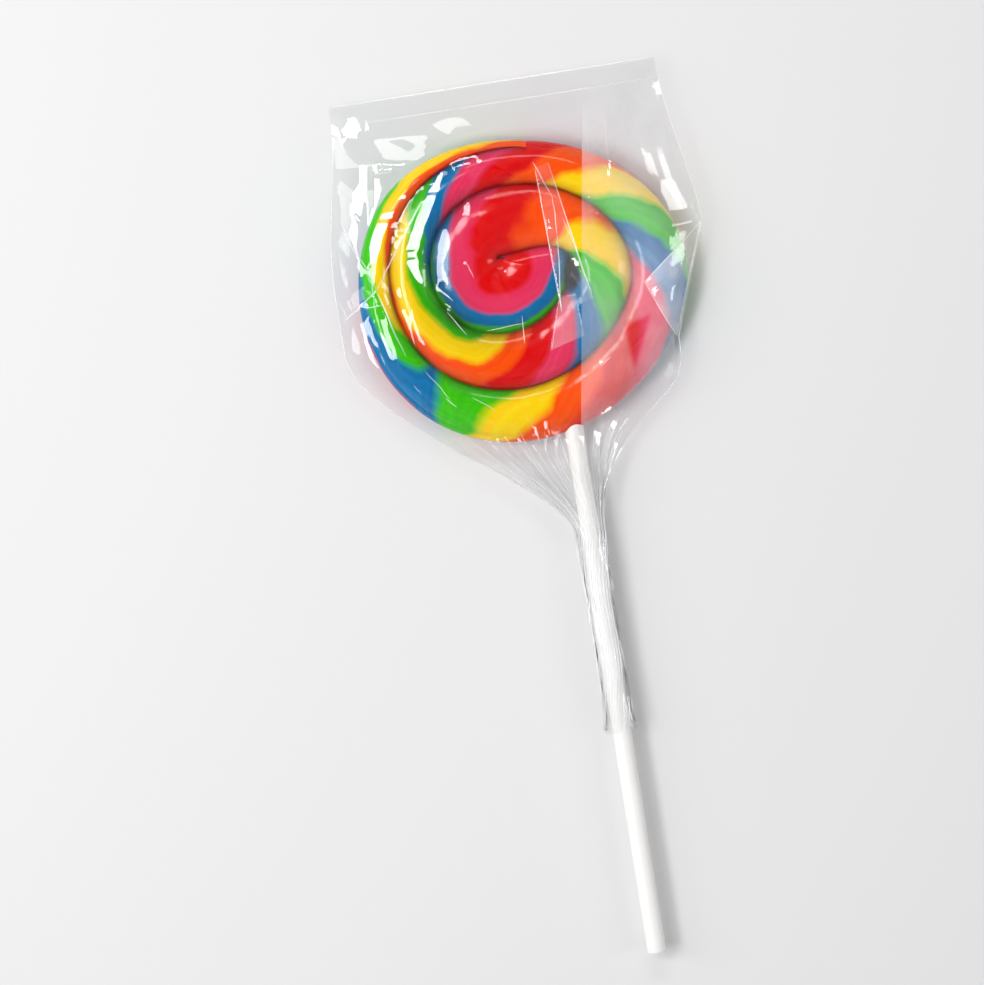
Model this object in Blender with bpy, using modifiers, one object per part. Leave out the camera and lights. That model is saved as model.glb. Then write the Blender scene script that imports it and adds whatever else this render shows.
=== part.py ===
"""A swirl lollipop in its clear film wrapper, lying on its back.

Metres, +Z up. +Y runs along the stick towards the head, and the origin is on the resting
surface under the middle of the whole lollipop. Three solids: the coiled candy rope, the
stick seated in it, and the thin-walled film bag, open at its mouth round the stick.
"""

import math

import bmesh
import bpy
import numpy as np

MM = 0.001

# Candy: one rope of twisted stripes, pressed flat and coiled clockwise from its inner end.
# Its width where it crosses the coil's axis, once every half turn.
ROPE_WIDTHS = (12.6 * MM, 11.8 * MM, 10.6 * MM, 7.0 * MM, 8.8 * MM, 5.8 * MM, 5.0 * MM)
ROPE_HALF_TURNS = 5.4  # half turns of rope after its rounded inner end
THINNING_FROM = 4.4  # where the rope's tail starts to thin out against the turn inside it
AXIS_ANGLE = math.radians(-24)  # which way the coil's axis points, seen from above
UPPER_PRESS = 0.83  # the coil is pressed in on its upper side, and out on its lower side
LOWER_PRESS = 1.08
LEAN = 0.03  # sideways lean of the pressed coil for each unit away from its axis
CANDY_THICKNESS = 7.5 * MM
START_RISE_NEAR = 0.3  # the rounded inner end's height as a share of a half circle's: low
START_RISE_FAR = 1.25  # beside the dimple, and high at its blunt far end
ROPE_SQUARENESS = 2.3  # superellipse exponent of the pressed rope's section
ROPE_OVERLAP = 0.14  # share of its half width that a turn has melted into the next
RIM_BULGE = 1.1 * MM  # how far the outer side of the rope stands out
RIM_THINNING = 0.1  # share of the thickness lost from the middle of the head to its rim

# Stick: a plain solid rod pushed into the head from below.
STICK_DIAMETER = 3.3 * MM
STICK_SHOWN = 93 * MM  # from the head's lower rim to the free end
STICK_SEAT = 20 * MM  # length inside the candy
STICK_OFF_CENTRE = 4.8 * MM  # the stick sits this far to the right of the head's middle
STICK_EDGE = 0.25 * MM

# Wrapper: a bag of clear film with a flat closed end, gathered into pleats at the neck.
FILM_WALL = 0.3 * MM
GAP = 0.3 * MM  # between touching pieces
FIN_LENGTH = 10 * MM  # from the head's upper rim to the closed end
SEAM_LENGTH = 3.5 * MM  # flat strip at the closed end
FIN_THICKNESS = 0.9 * MM  # both walls of the flattened film with the gap between them
CLOSED_HALF_WIDTH = 28.5 * MM
HEAD_HALF_WIDTH = 32.6 * MM
WIDEST_ABOVE_MIDDLE = 4 * MM  # where the bag is widest, above the head's middle
GATHER_BELOW_MIDDLE = 6 * MM  # where it starts to draw in, below the head's middle
ROUNDING_ABOVE_RIM = 2 * MM  # where its section starts to turn round, above the lower rim
FILM_SLOPE = 0.75  # how steeply the film falls from the candy's face to the bag's edge
NECK_BELOW_HEAD = 18 * MM
SLEEVE_LENGTH = 35 * MM  # film wound round the stick, from the neck to the mouth
SLEEVE_RADIUS = 2.5 * MM
MOUTH_FLARE = 0.35 * MM
FLARE_LENGTH = 3 * MM
PLEATS = 7
PLEAT_DEPTH = 0.22 * MM
PLEAT_TWIST = 1.1  # radians that the pleats wind round the sleeve

# Mesh density
STEPS_PER_HALF_TURN = 20
STEPS_ACROSS_ROPE = 8
STEPS_ROUND_RIM = 6
STEPS_ACROSS_FILM = 20
STICK_SIDES = 24
WELD = 0.01 * MM

MID_HEIGHT = CANDY_THICKNESS / 2 + GAP + FILM_WALL  # of the candy, the stick and the bag


# ---------------------------------------------------------------- candy


def crossing(number):
    """Where the outer groove of a half turn ends on the coil's axis. Turns end right, left, right."""
    if number < 0:
        return 0.0
    reach = sum(ROPE_WIDTHS[number % 2 : number + 1 : 2])
    return reach if number % 2 == 0 else -reach


def groove(number, along):
    """A point on the outer groove of a half turn and its outward direction; along runs 0 to 1.

    Each half turn is a half circle between two crossings of the axis: even ones above the
    axis from left to right, odd ones below it from right to left. The first one bounds the
    rope's inner end, which is low on one side and blunt on the other.
    """
    start, end = crossing(number - 1), crossing(number)
    angle = math.pi * (1 - along if number % 2 == 0 else -along)
    direction = np.array([math.cos(angle), math.sin(angle)])
    point = [(start + end) / 2, 0] + abs(end - start) / 2 * direction
    if number == 0:
        point[1] *= START_RISE_NEAR + (START_RISE_FAR - START_RISE_NEAR) * point[0] / end
    return point, direction


def rope_height(across):
    """Half height of the rope's section as a share of the full half height.

    across is 0 at one groove, 0.5 along the rope's crest and 1 at the other groove.
    """
    from_crest = np.abs(2 * across - 1) / (1 + ROPE_OVERLAP)
    return (1 - from_crest**ROPE_SQUARENESS) ** (1 / ROPE_SQUARENESS)


GROOVE_HEIGHT = float(rope_height(0.0))


def rope_edges(number, along):
    """The rope's outer edge, inner edge, outward direction and share of its full width."""
    left = (ROPE_HALF_TURNS - (number - 1 + along)) / (ROPE_HALF_TURNS - THINNING_FROM)
    width = math.sin(max(0.0, min(1.0, left)) * math.pi / 2)
    outer, direction = groove(number, along)
    inner, _ = groove(number - 2, along)
    return inner + (outer - inner) * width, inner, direction, width


def rope_row(number, along):
    """Points across the rope's upper face, from its outer groove to its inner one."""
    outer, inner, _, width = rope_edges(number, along)
    across = (1 - np.cos(np.pi * np.arange(STEPS_ACROSS_ROPE + 1) / STEPS_ACROSS_ROPE)) / 2
    share = across
    if number == 0:
        # The rounded inner end turns about its own crest, so only the outer half is used.
        inner = np.array([crossing(0) / 2, 0])
        across = np.minimum(across, 0.5)
        share = 2 * across
    height = GROOVE_HEIGHT + (rope_height(across) - GROOVE_HEIGHT) * width
    return np.column_stack([outer + share[:, None] * (inner - outer), height])


def rim_row(number, along):
    """Points down the rope's rounded outer side, from the upper face to the lower."""
    outer, _, direction, _ = rope_edges(number, along)
    top = math.asin(GROOVE_HEIGHT ** (ROPE_SQUARENESS / 2))
    angle = np.linspace(top, -top, STEPS_ROUND_RIM + 1)
    reach = np.cos(angle) ** (2 / ROPE_SQUARENESS) * (1 + ROPE_OVERLAP) - 1
    height = np.sign(angle) * np.abs(np.sin(angle)) ** (2 / ROPE_SQUARENESS)
    return np.column_stack([outer + (reach * RIM_BULGE / ROPE_OVERLAP)[:, None] * direction, height])


def strips(row, first_turn, last_turn):
    """Pairs of neighbouring rows, each on one half turn, from the first turn to the last."""
    first, last = (round(turn * STEPS_PER_HALF_TURN) for turn in (first_turn, last_turn))
    pairs = []
    for step in range(first, last):
        half_turn, place = divmod(step, STEPS_PER_HALF_TURN)
        pairs.append([row(half_turn + 1, (place + i) / STEPS_PER_HALF_TURN) for i in (0, 1)])
    return np.array(pairs)


def pressed(points):
    """The coil pressed out of round and turned to its place in the head, seen from above."""
    x, y = points[..., 0], points[..., 1]
    y = y * np.where(y > 0, UPPER_PRESS, LOWER_PRESS)
    x = x + LEAN * y
    cos, sin = math.cos(AXIS_ANGLE), math.sin(AXIS_ANGLE)
    return np.stack([x * cos - y * sin, x * sin + y * cos], -1)


FACE = strips(rope_row, -1, ROPE_HALF_TURNS)
RIM = strips(rim_row, ROPE_HALF_TURNS - 2, ROPE_HALF_TURNS)
OUTLINE = pressed(RIM).reshape(-1, 2)
HEAD_MIDDLE = (OUTLINE.min(0) + OUTLINE.max(0)) / 2
HEAD_HALF_LENGTH = float(np.ptp(OUTLINE[:, 1])) / 2

# Stations along Y. The whole length is centred on the origin.
TOTAL_LENGTH = FIN_LENGTH + 2 * HEAD_HALF_LENGTH + STICK_SHOWN
CLOSED_END_Y = TOTAL_LENGTH / 2
SEAM_Y = CLOSED_END_Y - SEAM_LENGTH
HEAD_Y = CLOSED_END_Y - FIN_LENGTH - HEAD_HALF_LENGTH
HEAD_LOWER_Y = HEAD_Y - HEAD_HALF_LENGTH
WIDEST_Y = HEAD_Y + WIDEST_ABOVE_MIDDLE
GATHER_FROM_Y = HEAD_Y - GATHER_BELOW_MIDDLE
NECK_Y = HEAD_LOWER_Y - NECK_BELOW_HEAD
MOUTH_Y = NECK_Y - SLEEVE_LENGTH
STICK_END_Y = -TOTAL_LENGTH / 2


def in_head(points):
    """Points of the coil at their place in the head, which thins a little towards its rim."""
    xy = pressed(points) - HEAD_MIDDLE
    thinned = 1 - RIM_THINNING * (xy**2).sum(-1) / HEAD_HALF_LENGTH**2
    z = MID_HEIGHT + points[..., 2] * CANDY_THICKNESS / 2 * thinned
    return np.concatenate([xy + [0, HEAD_Y], z[..., None]], -1)


def add_strips(bm, pairs):
    """Adds quads between the two rows of each pair."""
    for near, far in pairs:
        near_verts = [bm.verts.new(point) for point in near]
        far_verts = [bm.verts.new(point) for point in far]
        for i in range(len(near) - 1):
            bm.faces.new((near_verts[i], far_verts[i], far_verts[i + 1], near_verts[i + 1]))


def add_candy(collection, finish):
    """The coiled rope: its upper face, the same face mirrored below, and the rim between them."""
    bm = bmesh.new()
    for pairs in (FACE, FACE * [1, 1, -1], RIM):
        add_strips(bm, in_head(pairs))
    return add_mesh_object("candy", bm, collection, finish)


# ---------------------------------------------------------------- stick


def add_rod(name, radius, low_y, high_y, collection):
    """A round rod along Y in the head's mid plane, on the stick's line."""
    bpy.ops.mesh.primitive_cylinder_add(
        vertices=STICK_SIDES,
        radius=radius,
        depth=high_y - low_y,
        location=(STICK_OFF_CENTRE, (low_y + high_y) / 2, MID_HEIGHT),
        rotation=(math.radians(90), 0, 0),
    )
    rod = bpy.context.object
    rod.name = rod.data.name = name
    for old in list(rod.users_collection):
        old.objects.unlink(rod)
    collection.objects.link(rod)
    return rod


def add_stick(collection, finish):
    """The stick, with the edges of its flat ends just broken."""
    stick = add_rod("stick", STICK_DIAMETER / 2, STICK_END_Y, HEAD_LOWER_Y + STICK_SEAT, collection)
    edge = stick.modifiers.new("broken_edges", "BEVEL")
    edge.width = STICK_EDGE
    edge.segments = 2
    edge.limit_method = "ANGLE"
    edge.angle_limit = math.radians(60)
    stick.data.shade_smooth()
    stick.data.set_sharp_from_angle(angle=math.radians(40))
    stick.data.materials.append(finish)


def add_seat_cutter(candy, collection):
    """The seat in the candy, a gap wider than the stick all round and open below the head."""
    cutter = add_rod(
        "seat_cutter",
        STICK_DIAMETER / 2 + GAP,
        HEAD_LOWER_Y - GAP,
        HEAD_LOWER_Y + STICK_SEAT + GAP,
        collection,
    )
    cutter.hide_render = True
    cutter.display_type = "WIRE"
    seat = candy.modifiers.new("stick_seat", "BOOLEAN")
    seat.operation = "DIFFERENCE"
    seat.object = cutter


# ---------------------------------------------------------------- wrapper


def ease(start, end, y):
    """0 at start, 1 at end and smooth between them."""
    t = min(1.0, max(0.0, (y - start) / (end - start)))
    return t * t * (3 - 2 * t)


def bag_half_width(y):
    """The bag's half width: narrower at the closed end, widest over the head, then drawn in."""
    widening = ease(CLOSED_END_Y, WIDEST_Y, y)
    over_head = CLOSED_HALF_WIDTH + (HEAD_HALF_WIDTH - CLOSED_HALF_WIDTH) * widening
    gathered = ease(GATHER_FROM_Y, NECK_Y, y)
    return over_head + (SLEEVE_RADIUS - over_head) * gathered


def bag_half_height(y):
    """The bag's half height: the flat fin, the slope up to the candy's face, and the neck."""
    over_head = min(MID_HEIGHT, FIN_THICKNESS / 2 + FILM_SLOPE * max(0.0, SEAM_Y - y))
    gathered = ease(HEAD_LOWER_Y, NECK_Y, y)
    return over_head + (SLEEVE_RADIUS - over_head) * gathered


def film_section(y, inset):
    """One closed loop round the film at y, pulled in by inset, as points in X and Z.

    Each half of the loop runs from one edge fold to the other. Over the head it is flat with
    two sloping sides, and at the neck it has become half a circle with pleats.
    """
    a, b = bag_half_width(y) - inset, bag_half_height(y) - inset
    edge = FIN_THICKNESS / 2 - inset
    roundness = ease(HEAD_LOWER_Y + ROUNDING_ABOVE_RIM, NECK_Y, y)
    # Half circle angles, a step short of the folds, so that the two halves don't touch there.
    step = math.pi / (STEPS_ACROSS_FILM + 1)
    angle = math.pi - step * (np.arange(STEPS_ACROSS_FILM + 1) + 0.5)
    across = np.cos(angle) / math.cos(step / 2)
    sloping = np.minimum(b, edge + FILM_SLOPE * a * (1 - np.abs(across)))
    rounded = b * np.sin(angle)
    height = sloping + (rounded - sloping) * roundness
    upper = np.column_stack([a * across, height])
    loop = np.concatenate([upper, -upper])
    # Pleats: a wave round the loop that winds slowly about the stick.
    around = np.concatenate([angle, angle + math.pi])
    wound = PLEAT_TWIST * (NECK_Y - y) / SLEEVE_LENGTH
    pleated = PLEAT_DEPTH * ease(HEAD_LOWER_Y, NECK_Y, y)
    wave = pleated * np.cos(PLEATS * (around + wound))
    flare = MOUTH_FLARE * ease(MOUTH_Y + FLARE_LENGTH, MOUTH_Y, y)
    outwards = np.column_stack([np.cos(around), np.sin(around)])
    shift = STICK_OFF_CENTRE * ease(HEAD_LOWER_Y + ROUNDING_ABOVE_RIM, NECK_Y, y)
    return loop + (wave + flare)[:, None] * outwards + [shift, MID_HEIGHT]


def film_stations():
    """Values of Y from the closed end to the mouth, closer together where the film curves."""
    slope_end = SEAM_Y - (MID_HEIGHT - FIN_THICKNESS / 2) / FILM_SLOPE
    runs = (
        (SEAM_Y, 1),
        (slope_end, 2),
        (WIDEST_Y, 3),
        (GATHER_FROM_Y, 1),
        (HEAD_LOWER_Y, 7),
        (NECK_Y, 7),
        (MOUTH_Y + FLARE_LENGTH, 6),
        (MOUTH_Y, 2),
    )
    stations = [CLOSED_END_Y]
    for end, count in runs:
        stations += list(np.linspace(stations[-1], end, count + 1)[1:])
    return stations


def add_skin(bm, inset):
    """One skin of the bag, closed at its flat end. Returns its loop of vertices at the mouth."""
    loops = []
    for y in film_stations():
        section = film_section(y, inset)
        loops.append([bm.verts.new((x, min(y, CLOSED_END_Y - inset), z)) for x, z in section])
    count = len(loops[0])
    for near, far in zip(loops, loops[1:]):
        for i in range(count):
            j = (i + 1) % count
            bm.faces.new((near[i], far[i], far[j], near[j]))
    end = loops[0]
    for i in range(count // 2 - 1):
        bm.faces.new((end[i], end[i + 1], end[-2 - i], end[-1 - i]))
    return loops[-1]


def add_wrapper(collection, finish):
    """The film: an outer skin and an inner one a wall inside it, joined round the mouth."""
    bm = bmesh.new()
    outer, inner = add_skin(bm, 0.0), add_skin(bm, FILM_WALL)
    for i in range(len(outer)):
        j = (i + 1) % len(outer)
        bm.faces.new((outer[i], inner[i], inner[j], outer[j]))
    add_mesh_object("wrapper", bm, collection, finish)


# ---------------------------------------------------------------- whole lollipop


def material(name, colour, roughness, alpha=1.0):
    """A plain finish: colour, roughness and, for the film, how much it hides."""
    made = bpy.data.materials.new(name)
    made.use_nodes = True
    shader = made.node_tree.nodes["Principled BSDF"]
    shader.inputs["Base Color"].default_value = (*colour, 1)
    shader.inputs["Roughness"].default_value = roughness
    shader.inputs["Metallic"].default_value = 0.0
    shader.inputs["Alpha"].default_value = alpha
    return made


def add_mesh_object(name, bm, collection, finish):
    """Welds the bmesh, turns its faces outwards and links it as a named object."""
    bmesh.ops.remove_doubles(bm, verts=bm.verts, dist=WELD)
    bmesh.ops.recalc_face_normals(bm, faces=bm.faces)
    mesh = bpy.data.meshes.new(name)
    bm.to_mesh(mesh)
    bm.free()
    mesh.shade_smooth()
    mesh.set_sharp_from_angle(angle=math.radians(50))
    mesh.materials.append(finish)
    obj = bpy.data.objects.new(name, mesh)
    collection.objects.link(obj)
    return obj


def main():
    for obj in list(bpy.data.objects):
        bpy.data.objects.remove(obj)
    parts = bpy.data.collections.new("swirl_lollipop")
    cutters = bpy.data.collections.new("cutters")
    bpy.context.scene.collection.children.link(parts)
    bpy.context.scene.collection.children.link(cutters)

    candy = add_candy(parts, material("striped_candy", (0.80, 0.08, 0.10), 0.15))
    add_seat_cutter(candy, cutters)
    add_stick(parts, material("white_stick", (0.90, 0.90, 0.89), 0.45))
    add_wrapper(parts, material("clear_film", (0.95, 0.95, 0.97), 0.05, alpha=0.2))


main()
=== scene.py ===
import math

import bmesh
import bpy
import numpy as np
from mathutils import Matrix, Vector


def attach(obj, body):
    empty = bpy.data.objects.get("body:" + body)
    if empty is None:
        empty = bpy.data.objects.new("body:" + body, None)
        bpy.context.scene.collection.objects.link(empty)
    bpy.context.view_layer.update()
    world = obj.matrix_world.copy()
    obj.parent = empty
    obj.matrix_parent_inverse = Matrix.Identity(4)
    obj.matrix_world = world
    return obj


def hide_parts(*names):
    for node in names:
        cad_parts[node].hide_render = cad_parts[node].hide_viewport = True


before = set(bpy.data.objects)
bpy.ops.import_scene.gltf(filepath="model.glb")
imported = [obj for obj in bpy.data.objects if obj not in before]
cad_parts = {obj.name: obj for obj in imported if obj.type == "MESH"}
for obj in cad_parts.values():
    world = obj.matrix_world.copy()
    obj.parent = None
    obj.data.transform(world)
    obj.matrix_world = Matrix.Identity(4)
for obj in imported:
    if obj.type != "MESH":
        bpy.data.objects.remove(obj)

# %% [markdown]
# # A swirl lollipop in its clear film bag
#
# The lollipop lies on its back: a coiled rope of striped candy on a white stick, in a bag of
# clear film that is gathered round the stick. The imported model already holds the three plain
# solids in metres, +Z up, with +Y running along the stick towards the head. This lesson
# dresses each of them with a finer surface and a finish.
#
# Every new shape below is a function of two numbers worked out on a whole grid at once. That
# way a change to one size moves everything that depends on it, and no vertex is typed in.

MM, CM = 0.001, 0.01
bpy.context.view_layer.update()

# %% [markdown]
# ## From a grid of points to a mesh
#
# Each surface is a numpy array of rows and columns of points. One helper turns it into quads,
# and can store a number at every face corner. Corners, not vertices, because two turns of the
# coil share the vertices of the groove between them and each keeps its own stripes there.

# %% Grid helpers
def grid_faces(rows, columns, first=0, flip=False):
    """Indices of the quads between neighbouring rows and columns; flip turns them over."""
    i, j = np.meshgrid(np.arange(rows - 1), np.arange(columns - 1), indexing="ij")
    corner = (first + i * columns + j).ravel()
    quads = np.stack([corner, corner + columns, corner + columns + 1, corner + 1], 1)
    return quads[:, ::-1] if flip else quads


def surface(name, grids, flips, values=None, weld=0.002 * MM):
    """One mesh object from grids of points in mm; values gives each grid's corner numbers.

    Points closer than weld become one, which closes seams and poles. It prints what stays
    open, and the volume in a closed skin, which is below 0 where the faces point inwards.
    """
    points, quads, first = [], [], 0
    for grid, flip in zip(grids, flips):
        points.append(grid.reshape(-1, 3) * MM)
        quads.append(grid_faces(*grid.shape[:2], first, flip))
        first += grid.shape[0] * grid.shape[1]
    points, quads = np.concatenate(points), np.concatenate(quads)
    mesh = bpy.data.meshes.new(name)
    mesh.vertices.add(len(points))
    mesh.vertices.foreach_set("co", points.astype(np.float32).ravel())
    mesh.loops.add(quads.size)
    mesh.loops.foreach_set("vertex_index", quads.astype(np.int32).ravel())
    mesh.polygons.add(len(quads))
    mesh.polygons.foreach_set("loop_start", np.arange(0, quads.size, 4, dtype=np.int32))
    mesh.update(calc_edges=True)
    for key, per_grid in (values or {}).items():
        corners = np.concatenate([value.ravel() for value in per_grid])[quads.ravel()]
        layer = mesh.attributes.new(key, "FLOAT", "CORNER")
        layer.data.foreach_set("value", corners.astype(np.float32))
    bm = bmesh.new()
    bm.from_mesh(mesh)
    bmesh.ops.remove_doubles(bm, verts=bm.verts, dist=weld)
    bmesh.ops.dissolve_degenerate(bm, edges=bm.edges, dist=weld / 2)
    open_edges = sum(len(edge.link_faces) != 2 for edge in bm.edges)
    opposed = sum(not edge.is_contiguous for edge in bm.edges if len(edge.link_faces) == 2)
    volume = bm.calc_volume(signed=True) / CM ** 3
    bm.to_mesh(mesh)
    bm.free()
    mesh.shade_smooth()
    obj = bpy.data.objects.new(name, mesh)
    bpy.context.scene.collection.objects.link(obj)
    triangles = sum(len(face.vertices) - 2 for face in mesh.polygons)
    closed = f", closed round {volume:.2f} cubic cm" if open_edges == 0 else ""
    print(f"{name}: {triangles} triangles, {open_edges} open and {opposed} opposed edges{closed}")
    return obj


# %% Smooth steps and soft unevenness
def ease(start, end, value):
    """0 at start, 1 at end and smooth between them: three times t squared less twice t cubed."""
    t = np.clip((value - start) / (end - start), 0, 1)
    return t * t * (3 - 2 * t)


def ripples(x, y, length, seed, terms=7):
    """Soft unevenness between -1 and 1: a sum of waves of about one length in all directions."""
    chance = np.random.default_rng(seed)
    total = 0
    for turn, stretch, start in chance.random((terms, 3)):
        run = x * math.cos(2 * math.pi * turn) + y * math.sin(2 * math.pi * turn)
        total = total + np.cos(2 * math.pi * (run / length / (0.7 + 0.6 * stretch) + start))
    return total / terms


print("smooth step at a quarter:", float(ease(0, 1, 0.25)))

# %% [markdown]
# ## The coil
#
# The candy is one rope, twisted from strips of six colours while soft, coiled up from its
# middle and pressed flat. A spiral formula would give turns of equal width, and a hand-made
# coil doesn't have them. So the coil is drawn as half circles that start and end on one axis,
# and a short list says how wide the rope is at each place where it crosses that axis.
# Afterwards the whole coil is pressed a little out of round, and turned.

# %% Sizes of the coil, in mm
ROPE_WIDTHS = (12.6, 11.8, 10.6, 7.0, 8.8, 5.8, 5.0)
ROPE_END = 5.4          # half turns of rope after its rounded inner end
THINNING_FROM = 4.4     # where the tail starts to thin out
AXIS_ANGLE = math.radians(-24)
UPPER_PRESS, LOWER_PRESS, LEAN = 0.83, 1.08, 0.03
CANDY_HALF = 3.75       # half the thickness of the candy
START_RISE = 0.3, 1.25  # height of the rounded inner end at its dimple and at its blunt side
SQUARENESS, OVERLAP = 2.3, 0.14
RIM_BULGE, RIM_THINNING = 1.1, 0.1
MID_HEIGHT = 4.35       # of the candy, the stick and the bag above the floor
STEPS = 100             # rows in each half turn
ACROSS = (1 - np.cos(np.pi * np.arange(29) / 28)) / 2  # closer together at the grooves


# %% Grooves and edges of the rope
def crossing(number):
    """Where a half turn ends on the axis: the sum of every second rope width, right or left."""
    reach = sum(ROPE_WIDTHS[number % 2:number + 1:2]) if number >= 0 else 0.0
    return reach if number % 2 == 0 else -reach


CROSSINGS = np.array([crossing(number) for number in range(-2, 8)])


def groove(number, along):
    """Points on the outer groove of half turns, and the outward directions there.

    A half circle between two crossings: even numbers above the axis, odd numbers below. The
    first one bounds the inner end, which rises from its dimple to a blunt far side.
    """
    start, end = CROSSINGS[number + 1], CROSSINGS[number + 2]
    angle = np.pi * np.where(number % 2 == 0, 1 - along, -along)
    outward = np.stack([np.cos(angle), np.sin(angle)], -1)
    middle = np.stack([(start + end) / 2, 0 * angle], -1)
    points = middle + np.abs(end - start)[..., None] / 2 * outward
    rise = START_RISE[0] + (START_RISE[1] - START_RISE[0]) * points[..., 0] / crossing(0)
    points[..., 1] *= np.where(number == 0, rise, 1.0)
    return points, outward


def rope_height(across):
    """Height of the rope's section as a share: a superellipse with both its sides cut off."""
    return (1 - np.abs((2 * across - 1) / (1 + OVERLAP)) ** SQUARENESS) ** (1 / SQUARENESS)


GROOVE_HEIGHT = float(rope_height(0.0))


def rope_edges(turn):
    """Outer edge, inner edge, outward direction and share of full width at each turn."""
    number = np.floor(turn + 1e-9).astype(int) + 1
    along = turn - (number - 1)
    width = np.sin(np.clip((ROPE_END - turn) / (ROPE_END - THINNING_FROM), 0, 1) * np.pi / 2)
    outer, outward = groove(number, along)
    inner, _ = groove(number - 2, along)
    return inner + (outer - inner) * width[:, None], inner, outward, width


def pressed(points):
    """Coil points pressed flatter above the axis than below it, leant and turned."""
    x, y = points[..., 0], points[..., 1]
    y = y * np.where(y > 0, UPPER_PRESS, LOWER_PRESS)
    x = x + LEAN * y
    cos, sin = math.cos(AXIS_ANGLE), math.sin(AXIS_ANGLE)
    return np.stack([x * cos - y * sin, x * sin + y * cos], -1)


TURNS = np.arange(round(ROPE_END * STEPS) + 1) / STEPS
OUTER, INNER, OUTWARD, WIDTH = rope_edges(TURNS)
print("rope rows:", len(TURNS), "groove at", round(GROOVE_HEIGHT, 3), "of the height")

# %% [markdown]
# ## The candy's surface
#
# Five grids make the candy: the rope's face and its rounded beginning at the middle, both
# above and mirrored below, and the outer side of the last whole turn. They share the points
# along their edges, so welding closes them into one skin.

# %% Grids of the candy
def face_grid():
    """The rope's face: straight across from groove to groove, as high as its section says."""
    share = ACROSS[None, :, None]
    xy = OUTER[:, None] + share * (INNER - OUTER)[:, None]
    height = GROOVE_HEIGHT + (rope_height(ACROSS) - GROOVE_HEIGHT) * WIDTH[:, None]
    return np.concatenate([xy, height[..., None]], -1)


def start_grid():
    """The rounded inner end: half a disc above the axis, on a fan from its outer groove."""
    along = np.arange(STEPS + 1) / STEPS
    outer, _ = groove(np.zeros(STEPS + 1, int), along)
    middle = np.array([crossing(0) / 2, 0])
    across = np.minimum(ACROSS, 0.5)
    xy = outer[:, None] + (2 * across)[None, :, None] * (middle - outer)[:, None]
    height = np.broadcast_to(rope_height(across), xy.shape[:2])
    return np.concatenate([xy, height[..., None]], -1)


def rim_grid(columns=15):
    """The outer side: the rest of the superellipse, from the upper face round to the lower."""
    last = round((ROPE_END - 2) * STEPS)
    top = math.asin(GROOVE_HEIGHT ** (SQUARENESS / 2))
    angle = np.linspace(top, -top, columns)
    reach = np.cos(angle) ** (2 / SQUARENESS) * (1 + OVERLAP) - 1
    height = np.sign(angle) * np.abs(np.sin(angle)) ** (2 / SQUARENESS)
    out = (reach * RIM_BULGE / OVERLAP)[None, :, None] * OUTWARD[last:, None]
    xy = OUTER[last:, None] + out
    return np.concatenate([xy, np.broadcast_to(height, xy.shape[:2])[..., None]], -1)


FACE, START, RIM = face_grid(), start_grid(), rim_grid()
OUTLINE = pressed(RIM[..., :2]).reshape(-1, 2)
HEAD_MIDDLE = (OUTLINE.min(0) + OUTLINE.max(0)) / 2
HEAD_HALF = float(np.ptp(OUTLINE[:, 1])) / 2

# %% Stations along the stick, in mm
STICK_SHOWN, FIN_LENGTH, SEAM_LENGTH = 93.0, 10.0, 3.5
CLOSED_END = (FIN_LENGTH + 2 * HEAD_HALF + STICK_SHOWN) / 2
SEAM = CLOSED_END - SEAM_LENGTH
HEAD_Y = CLOSED_END - FIN_LENGTH - HEAD_HALF
HEAD_LOWER = HEAD_Y - HEAD_HALF
print("closed end, head middle, lower rim, mm:", CLOSED_END, HEAD_Y, HEAD_LOWER)



# %% Dents, pits and thinning
# pits beside the blunt inner end and at the dimple: place, reach in x and y, depth as a share
PITS = ((8.7, 1.4, 1.5, 2.9, 0.36), (-3.3, 6.1, 0.7, 0.9, 0.12))


def head_place(points):
    """Places x and y from the head's middle of points of the coil."""
    return np.moveaxis(pressed(points[..., :2]) - HEAD_MIDDLE, -1, 0)


def in_pit(points):
    """How deep in a pit a point is, as a share of the thickness."""
    x, y = head_place(points)
    deep = sum(
        depth * np.exp(-((x - middle) / reach) ** 2 - ((y - level) / length) ** 2)
        for middle, level, reach, length, depth in PITS
    )
    return deep * (points[..., 2] > 0)


def in_head(points, strands=0.0):
    """Coil points at their place in the head, a little thinner towards its rim.

    Soft dents, the pits, and the strands of the twist, which stand out between their borders,
    change the height by a share of it.
    """
    x, y = head_place(points)
    thinned = 1 - RIM_THINNING * (x ** 2 + y ** 2) / HEAD_HALF ** 2
    dents = 0.012 * (1 + ripples(x, y, 9.0, 3)) + 0.004 * (1 + ripples(x, y, 3.4, 4))
    uneven = (1 - dents - strands) * (1 - in_pit(points))
    z = MID_HEIGHT + points[..., 2] * CANDY_HALF * thinned * uneven
    return np.stack([x, y + HEAD_Y, z], -1)


print("deepest pit, as a share of the height:", round(float(in_pit(FACE).max()), 2))

# %% [markdown]
# ## Where the stripes run
#
# The twist carries the six colours round the rope as it runs, and the hand that coiled it
# twisted unevenly. A phase counts the colours: one whole number for each cycle of red,
# orange, yellow, green, blue and pink. Three short lists give, at a few places along the
# rope, the phase on its crest, its change across the face, and how much that change bends.

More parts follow.
